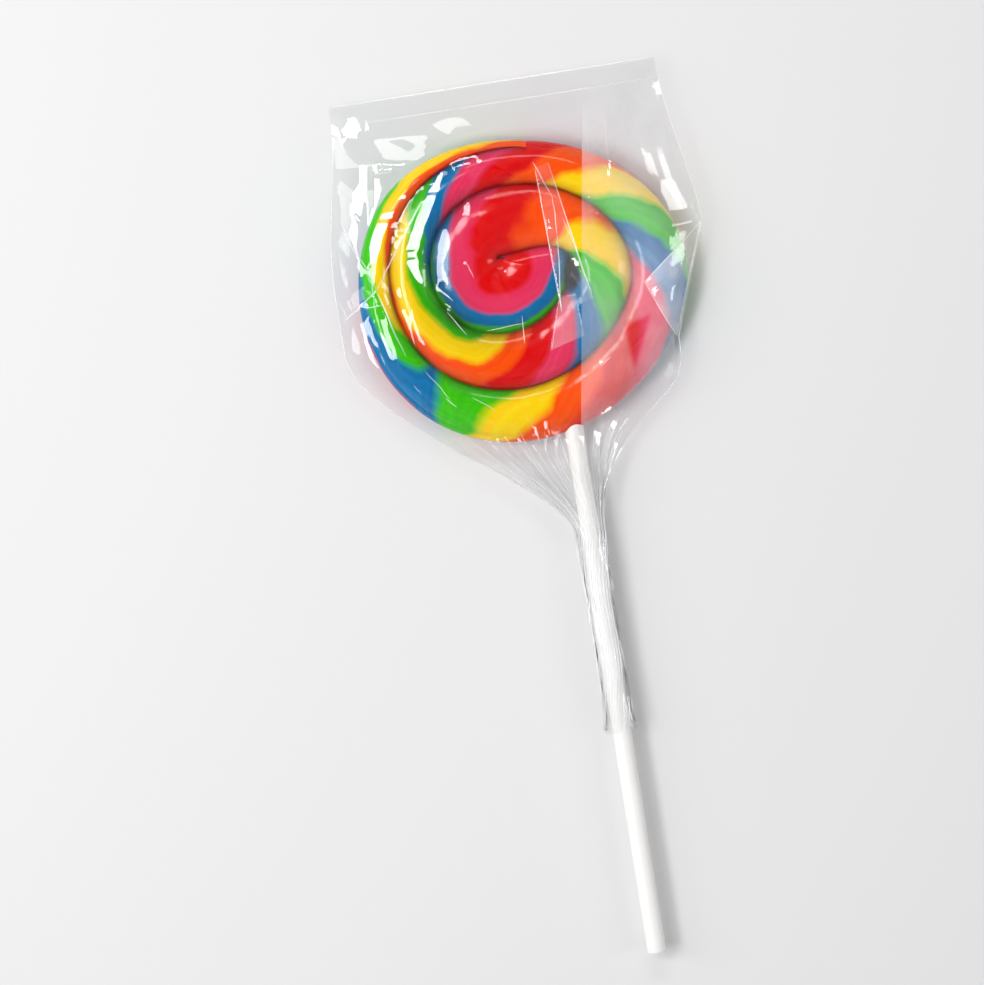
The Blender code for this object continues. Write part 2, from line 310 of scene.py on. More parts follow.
# %% Stripe phase on every grid
TWIST_PLACES = (0, 0.5, 1, 1.5, 2, 2.5, 2.75, 3, 3.5, 3.75, 4, 4.25, 4.5, 4.62, 4.75, 5, 5.4)
TWIST = (
    -0.02, -0.02, -0.04, 0.23, 0.62, 1.36, 1.46, 1.56, 2.31, 2.65, 2.90, 3.22, 3.55, 3.72, 3.62,
    3.36, 3.09,
)
SLANT_PLACES = (0, 0.5, 1, 1.5, 2, 2.5, 3, 3.5, 4, 4.4, 4.75, 5.4)
SLANT = (0.43, 0.53, 0.40, 0.05, 0.27, 0.38, 0.38, 0.16, 0.24, 0.2, -0.30, -0.28)
BEND_PLACES, BEND = (0.0, 0.5, 1.0, 1.5), (0.69, 0.57, 0.36, 0.0)


def stripe_phase(turn, across):
    """Phase on the upper face: the crest's value, plus the slant, less the bend squared."""
    off = across - 0.5
    slant, bend = np.interp(turn, SLANT_PLACES, SLANT), np.interp(turn, BEND_PLACES, BEND)
    return np.interp(turn, TWIST_PLACES, TWIST) + slant * off - bend * off ** 2


def side_step(turn):
    """How far the phase runs on over the rope's side: a quarter cycle, towards the slant."""
    slant = np.interp(turn, SLANT_PLACES, SLANT)
    return 0.25 * slant / (np.abs(slant) + 0.05)


# %% The phase on all five grids
turn, across = np.meshgrid(TURNS, ACROSS, indexing="ij")
upper_phase = stripe_phase(turn, across)
slant = np.interp(turn, SLANT_PLACES, SLANT)
lower_phase = upper_phase[:, :1] - side_step(turn) - slant * across
rim_turn = turn[-RIM.shape[0]:, :1]
rim_phase = upper_phase[-RIM.shape[0]:, :1] - side_step(rim_turn) * np.linspace(0, 1, RIM.shape[1])
start_across = 0.5 - (START[..., 0] - crossing(0) / 2) / crossing(0)
start_phase = stripe_phase(0 * start_across, start_across) - 0.004 * START[..., 1]
start_lower = stripe_phase(0.0, 0.0) - side_step(0.0) - SLANT[0] * start_across
print("colour cycles, from and to:", upper_phase.min().round(2), upper_phase.max().round(2))


def groove_distance():
    """Distance in mm from each point of the face to the nearer groove; the rim isn't one.

    Left of the inner coil and in the pits it counts for less, so the painted shade of the grooves
    spreads over a wider band there.
    """
    span = np.linalg.norm(OUTER - INNER, axis=1)[:, None]
    band = [1 + 2.2 * np.exp(-((turn - middle) / 0.36) ** 2) for middle in (0.75, 2.75)]
    outer = np.where(turn < ROPE_END - 2, across * span / band[0], 9.0)
    inner = ((1 - across) * span + (turn < 1.0) * 9.0 * (1 - turn)) / band[1]
    return np.minimum(outer, inner) - 7.6 * in_pit(FACE)


# %% The candy's mesh
face_groove = groove_distance()
# Distances for the painted groove shade on the inner end, shorter in the pits so that they get more
# of it.
start_groove = 2 * np.broadcast_to(np.minimum(ACROSS, 0.5), START.shape[:2]) * crossing(0) / 2
start_groove = start_groove - 7.6 * in_pit(START)
rim_groove = np.full(RIM.shape[:2], 9.0)


def strands(phase):
    """Valleys between the six strands: deepest on the borders, and gone at both grooves.

    They fade in from the rope's start and out at its tail, where the faces next to them have
    none, so that the points along those seams stay together and weld.
    """
    border = np.abs((phase * 6) % 1 - 0.5) * 2
    fade = ease(0.0, 0.3, turn) * WIDTH[:, None]
    return 0.022 * fade * border ** 3 * np.sin(np.pi * ACROSS) * (0.6 + 0.4 * np.sin(phase * 9))


below = [1, 1, -1]
candy = surface(
    "candy_swirl",
    [
        in_head(FACE, strands(upper_phase)), in_head(FACE * below, strands(lower_phase)),
        in_head(RIM), in_head(START), in_head(START * below),
    ],
    [True, False, False, True, False],
    {
        "stripe": [upper_phase, lower_phase, rim_phase, start_phase, start_lower],
        "groove": [face_groove, face_groove, rim_groove, start_groove, start_groove],
    },
)
print("candy box, mm:", [round(size / MM, 2) for size in candy.dimensions])

# %% [markdown]
# ## Shader sums in plain Python
#
# A finish is a small network of nodes. Written node by node it is hard to read, so one class
# wraps a socket and gives it the usual operators: an expression on it adds the Math nodes. One
# method makes any other node from its type, its settings and its inputs. Colours go through
# Mix nodes, because a Math node would turn them grey.

# %% A socket that can be calculated with
class Wire:
    """A node's output socket; arithmetic on it adds Math nodes."""

    def __init__(self, finish, socket):
        self.finish, self.socket = finish, socket

    def math(self, operation, *others):
        return self.finish.node("ShaderNodeMath", {"operation": operation}, (self, *others))

    def __add__(self, other):
        return self.math("ADD", other)

    def __sub__(self, other):
        return self.math("SUBTRACT", other)

    def __rsub__(self, other):
        return self.finish.node("ShaderNodeMath", {"operation": "SUBTRACT"}, (other, self))

    def __mul__(self, other):
        return self.math("MULTIPLY", other)

    def __truediv__(self, other):
        return self.math("DIVIDE", other)

    def __pow__(self, other):
        return self.math("POWER", other)

    __radd__, __rmul__ = __add__, __mul__

    def clamped(self):
        return self.finish.node(
            "ShaderNodeMath", {"operation": "ADD", "use_clamp": True}, (self, 0.0)
        )


# %% A tree of nodes, and a finish made of one
class Nodes:
    """A tree of nodes; each method adds one node, or a few, and gives its output."""

    def __init__(self, tree):
        self.tree = tree

    def node(self, kind, settings=None, inputs=(), output=0):
        """A node of that kind: settings first, then its inputs by number or by name."""
        made = self.tree.nodes.new(kind)
        for key, value in (settings or {}).items():
            if key == "stops":
                self.set_stops(made.color_ramp, value)
            else:
                setattr(made, key, value)
        pairs = inputs.items() if isinstance(inputs, dict) else enumerate(inputs)
        for key, value in pairs:
            if isinstance(value, Wire):
                self.tree.links.new(value.socket, made.inputs[key])
            elif value is not None:
                made.inputs[key].default_value = value
        return Wire(self, made.outputs[output])

    @staticmethod
    def set_stops(ramp, stops):
        """Gives a ramp its stops, each a place and a colour."""
        while len(ramp.elements) > 1:
            ramp.elements.remove(ramp.elements[-1])
        ramp.elements[0].position, ramp.elements[0].color = stops[0][0], (*stops[0][1], 1)
        for place, colour in stops[1:]:
            ramp.elements.new(place).color = (*colour, 1)

    def attribute(self, name):
        return self.node("ShaderNodeAttribute", {"attribute_name": name}, output="Fac")

    def place(self, scale=1.0):
        """Object coordinates in units of 1 mm over scale."""
        where = self.node("ShaderNodeTexCoord", output="Object")
        size = 1000.0 * scale
        return self.node("ShaderNodeMapping", {}, {"Vector": where, "Scale": (size,) * 3})

    def noise(self, length, detail=2.0, where=None, roughness=0.5):
        """Noise between 0 and 1 whose blobs are about length mm across."""
        return self.node("ShaderNodeTexNoise", {}, {
            "Vector": where or self.place(1 / length), "Scale": 1.0, "Detail": detail,
            "Roughness": roughness,
        })

    def mix(self, factor, first, second, blend="MIX"):
        """A mix of two colours."""
        return self.node("ShaderNodeMix", {"data_type": "RGBA", "blend_type": blend}, {
            0: factor, 6: first, 7: second,
        }, output=2)

    def bump(self, height, distance, strength=1.0):
        return self.node("ShaderNodeBump", {}, {
            "Height": height, "Distance": distance * MM, "Strength": strength,
        })


class Finish(Nodes):
    """A material with a node tree of its own, empty but for its output."""

    def __init__(self, name):
        self.material = bpy.data.materials.new(name)
        self.material.use_nodes = True
        super().__init__(self.material.node_tree)
        self.tree.nodes.clear()
        self.output = self.tree.nodes.new("ShaderNodeOutputMaterial")

    def finish(self, shader):
        self.tree.links.new(shader.socket, self.output.inputs["Surface"])
        print(f"{self.material.name}: {len(self.tree.nodes)} nodes")
        return self.material


def paint(hex_code):
    """A colour as linear light from the six-digit code of a paint chart."""
    parts = np.array([int(hex_code[i:i + 2], 16) for i in (0, 2, 4)]) / 255
    linear = np.where(parts <= 0.04045, parts / 12.92, ((parts + 0.055) / 1.055) ** 2.4)
    return tuple(float(value) for value in linear)


print("middle grey as linear light:", round(paint("808080")[0], 3))

# %% [markdown]
# ## The candy's finish
#
# Boiled sugar is glossy and lets a little light in. The phase stored on the corners picks the
# colour from a ring of six soft-edged stripes. Noise pushes the phase about, so that no
# border is straight, and fine streaks run along the strands. Grooves and pits get painted
# shade: their colour is darkened, to near black at the bottom, where little light gets in.

# %% Candy material
STRIPES = ("e00004", "ff5400", "ffd600", "3cc400", "0074ae", "e93460")


def stripe_stops(softness=0.024):
    """Ramp stops: each colour holds over most of its sixth and blends into the next.

    The ring closes on a mix of its last colour and its first.
    """
    share, paints = 1 / len(STRIPES), [paint(code) for code in STRIPES]
    join = tuple((np.array(paints[0]) + np.array(paints[-1])) / 2)
    stops = [(0.0, join)]
    for i, colour in enumerate(paints):
        stops += [(i * share + softness, colour), ((i + 1) * share - softness, colour)]
    return [*stops, (1.0, join)]


sugar = Finish("striped_candy")
wander = (sugar.noise(6.5, 1.0) - 0.5) * 0.09 + (sugar.noise(2.0, 1.0) - 0.5) * 0.025
phase = sugar.attribute("stripe") + wander
stripes = sugar.node(
    "ShaderNodeValToRGB", {"stops": stripe_stops()}, {"Fac": phase.math("FRACT")}
)
streaks = sugar.node("ShaderNodeTexNoise", {"noise_dimensions": "1D"}, {
    "W": phase * 26.0 + sugar.noise(9.0) * 0.8, "Scale": 1.0, "Detail": 2.0,
})
grey = sugar.node("ShaderNodeCombineColor", {}, (streaks,) * 3)
streaked_stripes = sugar.mix(0.42, stripes, grey, "SOFT_LIGHT")
# Painted shade: near the grooves and pits the colour is multiplied by a dark brown, patchy close in
# and even over a wider band.
away = sugar.attribute("groove")
near, wide = (1 - away / 0.7).clamped(), (1 - away / 2.6).clamped()
painted_groove_shade = near * (sugar.noise(7.0, 1.0) * 1.8 - 0.6).clamped() * 0.5 + wide * wide * 0.45
skin = sugar.mix(painted_groove_shade.clamped(), streaked_stripes, (*paint("5a423c"), 1), "MULTIPLY")
# Painted shade, near black, at the very bottom of the grooves and pits.
skin = sugar.mix(((0.4 - away) * 0.9).clamped() * 0.92, skin, (*paint("1c1012"), 1))
pits = sugar.noise(0.55, 2.0)
swell = sugar.noise(4.0, 1.0)
relief = sugar.bump(swell * 0.75 + pits * 0.05, 0.25, 0.6)
candy.data.materials.append(sugar.finish(sugar.node("ShaderNodeBsdfPrincipled", {}, {
    "Base Color": skin,
    "Roughness": 0.07 + sugar.noise(3.0, 2.0) * 0.1,
    "IOR": 1.5,
    "Specular IOR Level": 0.38,
    "Subsurface Weight": 0.12,
    "Subsurface Radius": (1.0, 0.45, 0.3),
    "Subsurface Scale": 0.7 * MM,
    "Normal": relief,
})))

# %% [markdown]
# ## The stick
#
# A plain white rod, cut off flat. It is a turned shape: a profile of radius against length,
# carried round the axis.

# %% Stick
STICK_RADIUS, STICK_SEAT, STICK_X, STICK_EDGE = 1.65, 20.0, 4.8, 0.22


def turned(lengths, radii, sides=72):
    """A profile of radius against length, carried round a line along Y through the stick."""
    angle = np.linspace(0, 2 * np.pi, sides + 1)
    around = np.stack([np.cos(angle), 0 * angle, np.sin(angle)], -1)
    centre = np.stack([0 * lengths + STICK_X, lengths, 0 * lengths + MID_HEIGHT], -1)
    return centre[:, None] + radii[:, None, None] * around[None]


corner = np.linspace(0, np.pi / 2, 6)
low, high = -CLOSED_END, HEAD_LOWER + STICK_SEAT
end_lengths = np.concatenate([[low, low], low + STICK_EDGE * (1 - np.cos(corner))])
end_radii = np.concatenate([[0.0, 0.8], STICK_RADIUS - STICK_EDGE * (1 - np.sin(corner))])
shaft = np.linspace(low + STICK_EDGE, high, 60)[1:]
lengths = np.concatenate([end_lengths, shaft, [high]])
radii = np.concatenate([end_radii, np.full(len(shaft), STICK_RADIUS), [0.0]])
stick = surface("stick_rod", [turned(lengths, radii)], [False])

paper = Finish("white_stick")
grain = paper.node("ShaderNodeMapping", {}, {
    "Vector": paper.node("ShaderNodeTexCoord", output="Object"), "Scale": (3000, 160, 3000),
})
fibres = paper.noise(1.0, 3.0, grain)
blotch = paper.noise(6.0, 2.0)
tint = paper.mix(blotch * 0.6, (*paint("f7f6f4"), 1), (*paint("efedea"), 1))
stick.data.materials.append(paper.finish(paper.node("ShaderNodeBsdfPrincipled", {}, {
    "Base Color": tint,
    "Roughness": 0.36 + fibres * 0.16,
    "IOR": 1.46,
    "Normal": paper.bump(fibres, 0.02, 0.5),
})))

# %% [markdown]
# ## How the film hangs
#
# The bag is a flat tube of film. It is sealed at one end, drawn over the head, and gathered
# round the stick at the other. Stretched film lies as low as it can: each point settles at the
# mean of its neighbours, unless the candy under it holds it up. That is an easy sum on a grid,
# repeated in many rounds, and it gives the drape over the rim that no simple formula has.

# %% Outline of the bag, in mm
FIN_HALF, FILM_SLOPE = 0.3, 0.75
CLOSED_HALF, HEAD_HALF_WIDTH = 28.5, 32.6
WIDEST, GATHER_FROM = HEAD_Y + 4.0, HEAD_Y - 6.0
NECK = HEAD_LOWER - 18.0
MOUTH = NECK - 35.0
SLEEVE = 2.5
TUCK_TOP, TUCK_LOW = (32.3, HEAD_Y + 7.0), (25.3, HEAD_Y - 12.4)  # ends of the right edge's fold


def half_width(y):
    """Narrower at the closed end, widest over the head, then drawn in to the sleeve."""
    wide = CLOSED_HALF + (HEAD_HALF_WIDTH - CLOSED_HALF) * ease(CLOSED_END, WIDEST, y)
    return wide + (SLEEVE - wide) * ease(GATHER_FROM, NECK, y)


def shift(y):
    """The bag's middle moves over to the stick between the head and the neck."""
    return STICK_X * ease(HEAD_LOWER + 2.0, NECK, y)


def left_edge(y):
    return shift(y) - half_width(y)


def right_edge(y):
    """The right edge, tucked in against the rim below a fold and let out again by the neck."""
    free = shift(y) + half_width(y)
    fold = np.interp(y, (TUCK_LOW[1], TUCK_TOP[1]), (TUCK_LOW[0], TUCK_TOP[0]))
    out = np.minimum(1, np.maximum(0, (TUCK_LOW[1] - y) / (TUCK_LOW[1] - HEAD_LOWER + 3.0))) ** 1.6
    below_fold = TUCK_LOW[0] + (free - TUCK_LOW[0]) * out - 1.4 * np.sin(np.pi * out)
    tucked = np.where(y < TUCK_LOW[1], below_fold, fold)
    return np.where(y > TUCK_TOP[1], free, np.minimum(free, tucked))


print("bag's width over the head, mm:", round(float(right_edge(HEAD_Y) - left_edge(HEAD_Y)), 2))

# %% Height map of the candy under the film
MAP_STEP, MAP_SPAN = 0.5, 36.0
FAR_BELOW = -9.0    # stands for no candy at all


def candy_map():
    """Highest candy point in each cell of a square map round the head, in mm above its middle."""
    side = int(2 * MAP_SPAN / MAP_STEP)
    top = np.full((side, side), FAR_BELOW)
    for grid in (FACE, START, RIM[:, :8]):
        points = in_head(grid).reshape(-1, 3)
        cell = np.floor((points[:, :2] - [0, HEAD_Y] + MAP_SPAN) / MAP_STEP).astype(int)
        np.maximum.at(top, (cell[:, 0], cell[:, 1]), points[:, 2] - MID_HEIGHT)
    for _ in range(3):  # cells that no point fell in
        padded = np.pad(top, 1, constant_values=FAR_BELOW)
        ring = [padded[i:side + i, j:side + j] for i in range(3) for j in range(3)]
        filled = np.max(ring, axis=0)
        known = np.sum([piece > FAR_BELOW for piece in ring], axis=0)
        top = np.where((top == FAR_BELOW) & (known >= 5), filled, top)
    return top


CANDY_MAP = candy_map()


def candy_top(x, y):
    """Height of the candy above its middle at x and y, or far below where there is none."""
    u = np.clip((x + MAP_SPAN) / MAP_STEP - 0.5, 0, CANDY_MAP.shape[0] - 1.001)
    v = np.clip((y - HEAD_Y + MAP_SPAN) / MAP_STEP - 0.5, 0, CANDY_MAP.shape[1] - 1.001)
    i, j = u.astype(int), v.astype(int)
    du, dv = u - i, v - j
    low = CANDY_MAP[i, j] * (1 - du) + CANDY_MAP[i + 1, j] * du
    high = CANDY_MAP[i, j + 1] * (1 - du) + CANDY_MAP[i + 1, j + 1] * du
    return low * (1 - dv) + high * dv


print("candy stands", round(float(CANDY_MAP.max()), 2), "mm above the middle")

# %% [markdown]
# ## Pleats
#
# Round the stick the whole width of the bag has to fit on a sleeve 5 mm across, so the film
# folds up like a fan. A zigzag along the film's width does that. Its folds keep their places
# in the film, so they draw together towards the neck by themselves, and each column of the
# grid between two folds stays straight and sharp.

# %% Folds of the fan
FOLDS, COLUMNS_PER_FOLD = 27, 8
chance = np.random.default_rng(11)
gaps = 0.55 + chance.random(FOLDS)
fold_places = np.concatenate([[0], np.cumsum(gaps)]) / gaps.sum()
fold_sizes = 0.55 + 0.6 * chance.random(FOLDS + 1)
fold_heights = np.where(np.arange(FOLDS + 1) % 2 == 0, -1, 1) * fold_sizes
fold_heights[0] = fold_heights[-1] = 0
fold_starts = 6.0 + 16.0 * chance.random(FOLDS + 1)  # mm above the lower rim where each begins

columns = np.interp(
    np.arange(FOLDS * COLUMNS_PER_FOLD + 1) / COLUMNS_PER_FOLD, np.arange(FOLDS + 1), fold_places
)
bag_rows = np.linspace(CLOSED_END, NECK, 262)
sleeve_rows = np.linspace(NECK, MOUTH, 91)[1:]
ROWS = np.concatenate([bag_rows, sleeve_rows])
print("film rows and columns:", len(ROWS), len(columns))


def zigzag(y, q):
    """Height of the folds: straight between neighbouring fold lines, each growing to the neck."""
    grown = ease(HEAD_LOWER + fold_starts[None, :], NECK + 4.0, y[:, None])
    tops = fold_heights[None, :] * grown ** 1.3
    cell = np.clip(np.searchsorted(fold_places, q, side="right") - 1, 0, FOLDS - 1)
    part = (q - fold_places[cell]) / (fold_places[cell + 1] - fold_places[cell])
    return tops[:, cell] * (1 - part) + tops[:, cell + 1] * part


def fold_depth(y):
    """Deepest just above the neck, where much film has to fit in little width."""
    wide = (right_edge(y) - left_edge(y)) / 2
    return 1.15 * ease(32.6, 12.0, wide) * (0.32 + 0.68 * ease(2.5, 9.0, wide))


# %% [markdown]
# ## Creases
#
# Clear film has a memory: wherever it was once folded, a sharp line stays. Each crease here is
# a low ridge along a line, straight on both sides of its top and fading out at both ends. Wide
# ridges break the sheet into flat facets, and narrow ones make the short sharp marks. A few
# have their own places, and the others are scattered by a seeded chance over the head.

# %% Creases of the film
# start x and y from the head's middle, end x and y, height, half width, all in mm
LONG_CREASES = (
    (5.0, 22.0, 7.4, 15.6, 0.30, 1.8), (7.4, 15.6, 7.2, 9.0, 0.34, 1.6),
    (7.2, 9.0, 5.9, -4.5, 0.30, 1.9), (8.6, 11.8, 11.6, -2.0, 0.26, 1.5),
    (-1.0, -4.0, -1.3, -9.0, 0.22, 1.3), (-29.8, 17.5, -25.3, 4.1, 0.42, 3.2),
    (-25.3, 4.1, -22.0, -8.1, 0.34, 2.2), (-25.3, 4.1, -31.7, -0.6, 0.34, 2.4),
    (-25.3, 4.1, -15.0, 18.5, 0.40, 3.0),
    (-13.8, -1.5, -11.0, -6.0, 0.26, 1.3), (-15.0, 3.4, -12.4, 0.2, 0.24, 1.3),
)


def scattered_creases(count, seed, lengths, heights, halves):
    """Creases with chance places, directions and sizes; each pair is a smallest and a largest."""
    made = []
    for place, far, direction, size, extra in np.random.default_rng(seed).random((count, 5)):
        radius, angle = 33 * math.sqrt(far), 2 * math.pi * place
        x, y = radius * math.cos(angle), radius * math.sin(angle)
        run = lengths[0] + (lengths[1] - lengths[0]) * size
        heading = math.pi * direction
        dx, dy = run / 2 * math.cos(heading), run / 2 * math.sin(heading)
        height = heights[0] + (heights[1] - heights[0]) * extra
        half = halves[0] + (halves[1] - halves[0]) * size
        made.append((x - dx, y - dy, x + dx, y + dy, height, half))
    return made


FACETS = scattered_creases(26, 41, (14, 34), (0.22, 0.5), (3.5, 8.0))
SHORT_CREASES = scattered_creases(46, 43, (2.5, 8.0), (0.07, 0.2), (0.7, 1.5))
BACK_CREASES = scattered_creases(40, 47, (4, 24), (0.1, 0.35), (1.0, 5.0))


def ridge(x, y, crease):
    """Height of one crease: straight down from its top to both sides, fading at both ends."""
    ax, ay, bx, by, height, half = crease
    length = math.hypot(bx - ax, by - ay)
    ux, uy = (bx - ax) / length, (by - ay) / length
    along = ((x - ax) * ux + (y - ay) * uy) / length
    off = np.sqrt(((y - ay) * ux - (x - ax) * uy) ** 2 + 0.12 ** 2)
    ends = ease(-0.15, 0.2, along) * ease(1.15, 0.8, along)
    return height * np.maximum(0, 1 - off / half) * ends


def creased(x, y, creases):
    """The heights of all creases at x and y, added up."""
    return sum(ridge(x, y - HEAD_Y, crease) for crease in creases)


print("creases:", len((*LONG_CREASES, *FACETS, *SHORT_CREASES, *BACK_CREASES)))

# %% [markdown]
# ## The front and the back of the bag
#
# Both sheets use the same rule. Their columns run from the left edge fold to the right one, and
# their rows from the closed end down over the head, in to the neck and along the sleeve. Over
# the head the section is flat between sloping sides, at the neck it is half a circle, and the
# settling sum does the rest.

# %% Film sheets
FILM_CLEAR = 0.1    # film above the candy, mm
HIGHEST = 4.33      # of the film above the middle, mm
SETTLING = 500, 160  # rounds of the sum for the front and for the coarser back
CLING = 0.7         # how closely it follows the rope where it sticks to it, on the left
CLING_ABOVE = 2.0   # height in mm above which it can stick to the candy
SMOOTHING = 8       # rounds after that, with the film free to touch the rope
SAG = 0.12          # mm that the film sinks between the creases
FRONT_CREASES = (*LONG_CREASES, *FACETS, *SHORT_CREASES)


def settle(height, hold, rounds):
    """Repeats: each inner point goes to its neighbours' mean, but never below what holds it."""
    for _ in range(rounds):
        mean = (height[2:, 1:-1] + height[:-2, 1:-1] + height[1:-1, 2:] + height[1:-1, :-2]) / 4
        height[1:-1, 1:-1] = np.maximum(mean, hold[1:-1, 1:-1])
    return height


def film_sheet(rows, q, rounds, creases, front=True):
    """Points of one sheet in mm: rows of y by places q across the film, from 0 to 1."""
    y = rows[:, None] + 0 * q[None, :]
    roundness = ease(HEAD_LOWER + 2.0, NECK, y)
    flat, arc = 2 * q[None, :] - 1, -np.cos(np.pi * q)[None, :]
    across = flat + (arc - flat) * roundness
    left, right = left_edge(y), right_edge(y)
    x = (left + right) / 2 + (right - left) / 2 * across
    top = np.minimum(CANDY_HALF + FILM_CLEAR, FIN_HALF + FILM_SLOPE * np.maximum(0, SEAM - y))
    top = top + (SLEEVE - top) * ease(HEAD_LOWER, NECK, y)
    sides = np.minimum(top, FIN_HALF + FILM_SLOPE * np.minimum(x - left, right - x))
    height = sides + (top * np.sqrt(np.maximum(0, 1 - across ** 2)) - sides) * roundness
    hold = np.where((y > HEAD_LOWER - 2) & (y < SEAM), candy_top(x, y) + FILM_CLEAR, FAR_BELOW)
    bag = rows >= NECK - 1e-6
    height[bag] = settle(height[bag].copy(), hold[bag], rounds)
    cling = np.where(hold > CLING_ABOVE, CLING * (0.25 + 0.75 * ease(-2.0, -16.0, x)), 0) * front
    height = height + (np.maximum(hold, CLING_ABOVE) - height) * cling
    height[bag] = settle(height[bag].copy(), hold[bag] - FILM_CLEAR, SMOOTHING)
    inside = np.minimum(x - left, right - x)
    fade = ease(0.0, 3.0, inside) * ease(CLOSED_END, SEAM - 2, y)
    raised = creased(x, y, creases) * fade * ease(HEAD_LOWER - 8, HEAD_LOWER + 4, y)
    soft = 0.05 * ripples(x, y, 13.0, 61) * fade
    height = height + (raised - SAG * fade + soft if front else -0.4 * raised)
    height = np.maximum(np.minimum(height, HIGHEST), hold - FILM_CLEAR + 0.03)
    folds = zigzag(rows, q) * fold_depth(rows)[:, None]
    angle = np.pi * (1 - q)[None, :] + 0 * y
    x = x + folds * np.cos(angle) * roundness
    height = np.minimum(height + folds * (1 + (np.sin(angle) - 1) * roundness), HIGHEST)
    return sleeved(x, y, height, q, front)


# %% The sleeve, and both sheets
def sleeved(x, y, height, q, front):
    """Turns a sheet over for the back, and winds the sleeve about the stick down to its mouth.

    It turns by 1.25 radians and a wave, narrows by a sine and flares at its ragged mouth.
    """
    z = MID_HEIGHT + (height if front else -height)
    down = np.clip((NECK - y) / (NECK - MOUTH), 0, 1)
    wound = 1.25 * down + 0.25 * np.sin(7 * down)
    dx, dz = x - STICK_X, z - MID_HEIGHT
    cos, sin = np.cos(wound), np.sin(wound)
    around = 30 * q[None, :] * (1 if front else -1)
    tight = 1 - 0.1 * np.sin(np.pi * down) + 0.06 * ripples(around, y, 5.0, 21) * ease(0, 0.1, down)
    flare = 1 + 0.16 * ease(0.92, 1.0, down)
    turned_x = np.where(y < NECK, STICK_X + (dx * cos - dz * sin) * tight * flare, x)
    turned_z = np.where(y < NECK, MID_HEIGHT + (dx * sin + dz * cos) * tight * flare, z)
    ragged = 0.9 * ripples(8 * q[None, :] * (1 if front else -1), 0 * y, 3.0, 31)
    return np.stack([turned_x, y + ragged * ease(0.8, 1.0, down), turned_z], -1)


def layers(rows, q):
    """How many layers of film lie over each other: one over the head, several in the sleeve."""
    return np.broadcast_to(1 + 5 * ease(HEAD_LOWER - 4, NECK, rows)[:, None], (len(rows), len(q)))


FRONT = film_sheet(ROWS, columns, SETTLING[0], FRONT_CREASES)
film_front = surface("film_front", [FRONT], [False], {"layers": [layers(ROWS, columns)]})

back_q, back_rows = columns[::2], ROWS[::2]
BACK = film_sheet(back_rows, back_q, SETTLING[1], BACK_CREASES, front=False)
film_back = surface("film_back", [BACK], [True], {"layers": [layers(back_rows, back_q)]})

# %% [markdown]
# ## Doubled film
#
# Film this size never lies in one layer. A lengthwise lap covers the right part of the head,
# a tuck and a facet cross its middle, and the right edge is folded over in a triangle. Each is
# a second sheet on the first, so its straight edges show as on the real bag. A function that
# finds the front sheet anywhere places them, and the crease lines too. On the left two short
# folds stand up instead, tilted towards the light, and draw the brightest glints.

# %% Second layers
def front_at(y, q):
    """The front sheet's point at y and q, by straight interpolation between its grid points."""
    u = np.interp(-y, -ROWS, np.arange(len(ROWS)))
    v = np.interp(q, columns, np.arange(len(columns)))
    i, j = np.minimum(u.astype(int), len(ROWS) - 2), np.minimum(v.astype(int), len(columns) - 2)
    du, dv = (u - i)[..., None], (v - j)[..., None]
    near = FRONT[i, j] * (1 - dv) + FRONT[i, j + 1] * dv
    far = FRONT[i + 1, j] * (1 - dv) + FRONT[i + 1, j + 1] * dv
    return near * (1 - du) + far * du


def across_at(x, y):
    """The place q across the film that lies at x, where the section is still flat."""
    return np.clip((x - left_edge(y)) / (right_edge(y) - left_edge(y)), 0, 1)


def lap(middle=10.1, slope=0.16, rows=200, across=70, lift=0.05):
    """The lengthwise lap: all of the front right of a slanting line, down into the gather."""
    y = np.linspace(SEAM, NECK + 1, rows)[:, None]
    level = np.maximum(y, HEAD_LOWER)
    start = across_at(middle + slope * (level - HEAD_Y), level)
    q = start + (0.985 - start) * np.linspace(0, 1, across)[None, :]
    return front_at(y + 0 * q, q) + [0, 0, lift]


def inside(points, corners):
    """A share from 0 outside a three-cornered spot to 1 in it, by the distance from its sides."""
    share = 1.0
    for (ax, ay), (bx, by) in zip(corners, corners[1:] + corners[:1]):
        off = (bx - ax) * (points[..., 1] - HEAD_Y - ay) - (by - ay) * (points[..., 0] - ax)
        share = share * ease(0.3, -0.9, off / math.hypot(bx - ax, by - ay))
    return share


# %% Standing folds and sheets that lie flat
def standing_fold(path, width=2.1, slope=0.25, top=8.8, rows=90, across=9):
    """A fold of film that stands up along a path: flat, rising to the right, pointed at its ends.

    Its middle line is the path with its corners rounded off by a running mean, and its height
    falls from the top at its right edge by the slope times the distance.
    """
    share = np.linspace(-0.15, 1.15, rows + 24)
    knots = np.linspace(0, 1, len(path))
    line = [np.interp(share, knots, side) for side in np.transpose(path)]
    x, y = (np.convolve(side, np.full(25, 1 / 25), "valid") for side in line)
    reach = width / 2 * np.sqrt(np.sin(np.pi * np.linspace(0.003, 0.997, rows)))
    reach = reach * (1 + 0.3 * ripples(x, y, 2.6, 71))
    across_x = x[:, None] + reach[:, None] * np.linspace(-1, 1, across)
    height = top + slope * (across_x - (x + reach)[:, None])
    height = height - 0.035 * (1 + ripples(across_x, y[:, None] + 0 * across_x, 3.2, 73))
    return np.stack([across_x, HEAD_Y + y[:, None] + 0 * across_x, height], -1)


